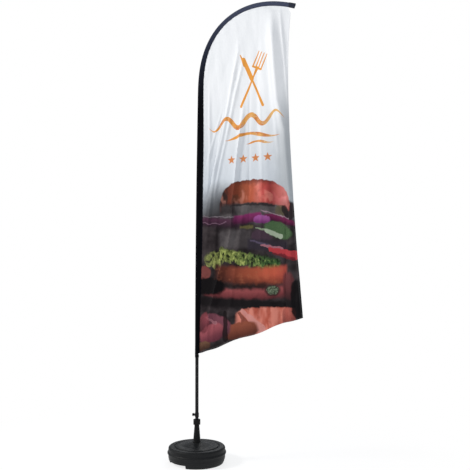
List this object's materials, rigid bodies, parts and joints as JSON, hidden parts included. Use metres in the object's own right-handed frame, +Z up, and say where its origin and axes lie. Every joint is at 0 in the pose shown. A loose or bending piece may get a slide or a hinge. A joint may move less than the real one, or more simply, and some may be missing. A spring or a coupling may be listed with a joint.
{
  "type": "feather flag",
  "caption": "Tall feather flag whose mast slides into a bowed cloth sleeve and turns on a round water-filled base.",
  "frame": {"origin": "on the floor, in the middle of the base tank's flat underside, on the axis that the mast turns about", "axes": "+Z up the mast, +X from the mast to the flag's free edge, +Y behind the flag"},
  "size_m": [1.0423, 0.439, 3.4014],
  "materials": {
    "base_plastic": "matte, blow-moulded",
    "hard_plastic": "satin, moulded",
    "nylon": "natural",
    "water": "clear",
    "rubber": "matte",
    "steel": "zinc plated",
    "brass": "turned",
    "pole_black": "black anodised",
    "fibreglass": "pultruded, satin",
    "sleeve_cloth": "woven",
    "panel_cloth": "printed knit"
  },
  "bodies": {
    "base": {"base_tank": "base_plastic", "ballast_water": "water", "base_neck": "hard_plastic", "neck_seal": "rubber", "lower_bush": "nylon", "upper_bush": "nylon"},
    "filler_gasket": {"filler_gasket": "rubber"},
    "filler_cap": {"filler_cap": "hard_plastic"},
    "collar_washer": {"collar_washer": "nylon"},
    "collar_nut": {"collar_nut": "hard_plastic"},
    "spindle": {"spindle": "steel", "spindle_clip": "steel"},
    "mast": {"pole_lower": "pole_black", "pole_middle": "pole_black", "joint_rod": "steel", "pole_reducer": "hard_plastic", "pole_top": "fibreglass", "pole_tip_cap": "rubber", "pole_clamp": "hard_plastic", "clamp_insert": "brass", "sleeve_band": "sleeve_cloth", "flag_sleeve": "sleeve_cloth", "tip_pocket": "sleeve_cloth", "flag_panel": "panel_cloth"},
    "clamp_pad": {"clamp_pad": "nylon"},
    "thumbscrew": {"thumbscrew_stud": "steel", "thumbscrew_knob": "hard_plastic"}
  },
  "joints": [
    {"name": "mast_spin", "type": "hinge", "parent": "base", "child": "spindle", "pos_m": [0, 0, 0.0091], "axis": [0, 0, 1], "continuous": true},
    {"name": "mast_lift", "type": "slide", "parent": "spindle", "child": "mast", "axis": [0, 0, 1], "range_m": [0, 0.12]},
    {"name": "collar_rise", "type": "slide", "parent": "base", "child": "collar_washer", "axis": [0, 0, 1], "range_m": [0, 0.012]},
    {"name": "collar_turn", "type": "hinge", "parent": "collar_washer", "child": "collar_nut", "pos_m": [0, 0, 0.3], "axis": [0, 0, 1], "range_deg": [0, 1440]},
    {"name": "filler_rise", "type": "slide", "parent": "base", "child": "filler_gasket", "axis": [0, 0, 1], "range_m": [0, 0.012]},
    {"name": "filler_turn", "type": "hinge", "parent": "filler_gasket", "child": "filler_cap", "pos_m": [-0.04446, 0.12216, 0.131], "axis": [0, 0, 1], "range_deg": [0, 1440]},
    {"name": "clamp_screw_travel", "type": "slide", "parent": "mast", "child": "clamp_pad", "axis": [-1, 0, 0], "range_m": [0, 0.003]},
    {"name": "clamp_screw_turn", "type": "hinge", "parent": "clamp_pad", "child": "thumbscrew", "pos_m": [-0.0144, 0, 0.351], "axis": [-1, 0, 0], "range_deg": [0, 720]}
  ],
  "couplings": [
    {"joint": "collar_rise", "follows": "collar_turn", "m_per_rad": 0.00047746},
    {"joint": "filler_rise", "follows": "filler_turn", "m_per_rad": 0.00047746},
    {"joint": "clamp_screw_travel", "follows": "clamp_screw_turn", "m_per_rad": 0.00023873}
  ]
}
